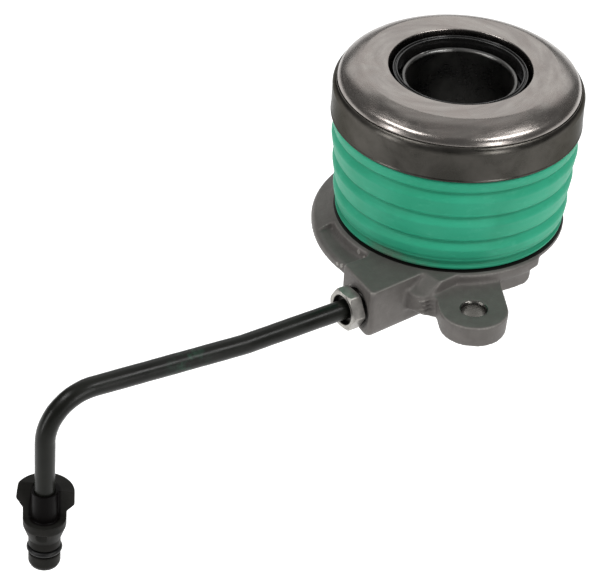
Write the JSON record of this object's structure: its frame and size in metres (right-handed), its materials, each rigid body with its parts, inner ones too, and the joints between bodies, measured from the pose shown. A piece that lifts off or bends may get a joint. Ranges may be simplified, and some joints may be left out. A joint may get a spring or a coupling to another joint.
{
  "type": "hydraulic clutch release bearing",
  "caption": "Hydraulic clutch release bearing: ring piston in a cast flange slides a self-centring ball bearing along a guide sleeve, with a bent pressure pipe and plug-in connector.",
  "frame": {"origin": "on the bearing axis, in the plane of the mounting ears' back faces", "axes": "+Z along the bearing axis from the gearbox towards the clutch; the pressure pipe leaves towards -X and -Y, and the connector points down -Z"},
  "size_m": [0.1439, 0.1549, 0.1111],
  "materials": {
    "cast_aluminium": "pressure die-cast, as cast and lightly blasted, machined faces",
    "race_steel": "hardened bearing steel, ground on the thrust face",
    "ball_steel": "polished bearing steel",
    "shell_steel": "drawn sheet steel, dark oiled",
    "sleeve_steel": "drawn steel tube, honed outside",
    "piston_plastic": "glass-filled plastic",
    "boot_rubber": "moulded green rubber, semi-gloss",
    "seal_rubber": "black moulded rubber",
    "support_plastic": "natural fluoropolymer",
    "cage_plastic": "glass-filled polyamide",
    "spring_steel": "oil-tempered spring steel",
    "zinc_steel": "zinc plated",
    "pipe_coating": "black coated steel tube, satin",
    "connector_plastic": "black glass-filled polyamide"
  },
  "bodies": {
    "housing": {"housing": "cast_aluminium", "guide_sleeve": "sleeve_steel", "sleeve_o_ring": "seal_rubber", "mount_o_ring": "seal_rubber", "stop_ring": "spring_steel", "spring_seat": "spring_steel", "flare_nut": "zinc_steel", "pressure_pipe": "pipe_coating", "connector_body": "connector_plastic", "connector_o_ring": "seal_rubber", "dust_boot": "boot_rubber", "preload_spring": "spring_steel"},
    "piston": {"piston": "piston_plastic", "piston_seal": "seal_rubber", "seal_support_ring": "support_plastic"},
    "float_x": {"float_spring": "spring_steel"},
    "bearing": {"float_retainer": "shell_steel", "carrier_plate": "shell_steel", "outer_race": "race_steel", "bearing_shell": "shell_steel", "bearing_seal": "seal_rubber"},
    "rotor": {"thrust_ring": "race_steel"},
    "cage": {"ball_cage": "cage_plastic", "balls": "ball_steel"}
  },
  "joints": [
    {"name": "release_slide", "type": "slide", "parent": "housing", "child": "piston", "axis": [0, 0, 1], "range_m": [-0.012, 0], "stiffness_N_per_m": 2500, "springref_m": 0.03, "deforming": ["dust_boot", "preload_spring"]},
    {"name": "centring_x", "type": "slide", "parent": "piston", "child": "float_x", "axis": [1, 0, 0], "range_m": [-0.0007, 0.0007]},
    {"name": "centring_y", "type": "slide", "parent": "float_x", "child": "bearing", "axis": [0, 1, 0], "range_m": [-0.0007, 0.0007]},
    {"name": "ring_spin", "type": "hinge", "parent": "bearing", "child": "rotor", "pos_m": [0, 0, 0.0465], "axis": [0, 0, 1], "continuous": true},
    {"name": "cage_spin", "type": "hinge", "parent": "bearing", "child": "cage", "pos_m": [0, 0, 0.0465], "axis": [0, 0, 1], "continuous": true}
  ],
  "couplings": [
    {"joint": "cage_spin", "follows": "ring_spin", "ratio": 0.4486}
  ]
}
